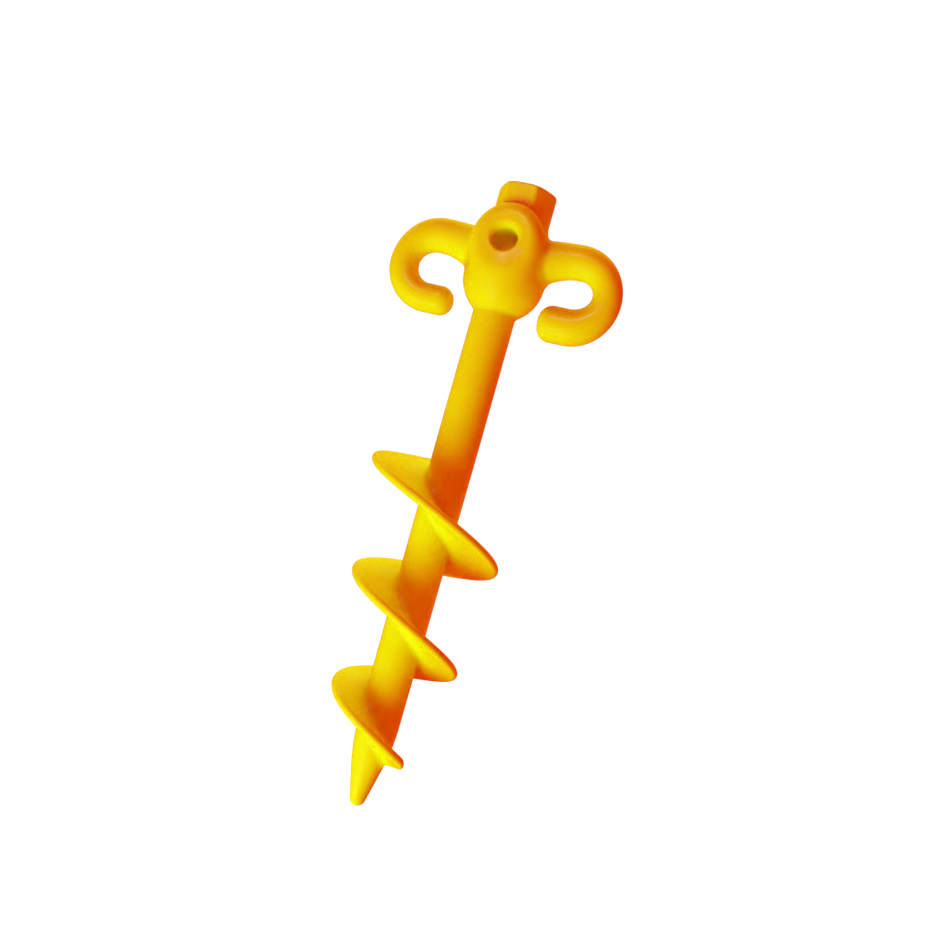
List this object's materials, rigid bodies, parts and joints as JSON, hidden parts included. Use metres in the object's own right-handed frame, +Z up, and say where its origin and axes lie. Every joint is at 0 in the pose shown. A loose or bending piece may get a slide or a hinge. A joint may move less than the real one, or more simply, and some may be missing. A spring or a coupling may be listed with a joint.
{
  "type": "tent stake",
  "caption": "Screw-in ground anchor with a hexagonal drive head, a cord eyelet, guy-line hooks and a helical flight that tapers to a point.",
  "frame": {"origin": "on the stake's axis, at the lowest point of the tip", "axes": "+Z up the stake from the tip to the drive head, X across the two hooks, the cord hole along Y, front is -Y"},
  "size_m": [0.0774, 0.046, 0.2],
  "materials": {
    "stake_plastic": "gloss moulded plastic, bright yellow"
  },
  "bodies": {
    "root": {"hex_drive_head": "stake_plastic", "eyelet_boss": "stake_plastic", "hub_body": "stake_plastic", "left_hook": "stake_plastic", "right_hook": "stake_plastic", "shank_upper": "stake_plastic", "shank_lower": "stake_plastic", "flight_top": "stake_plastic", "flight_middle": "stake_plastic", "flight_bottom": "stake_plastic", "point": "stake_plastic"}
  },
  "joints": []
}
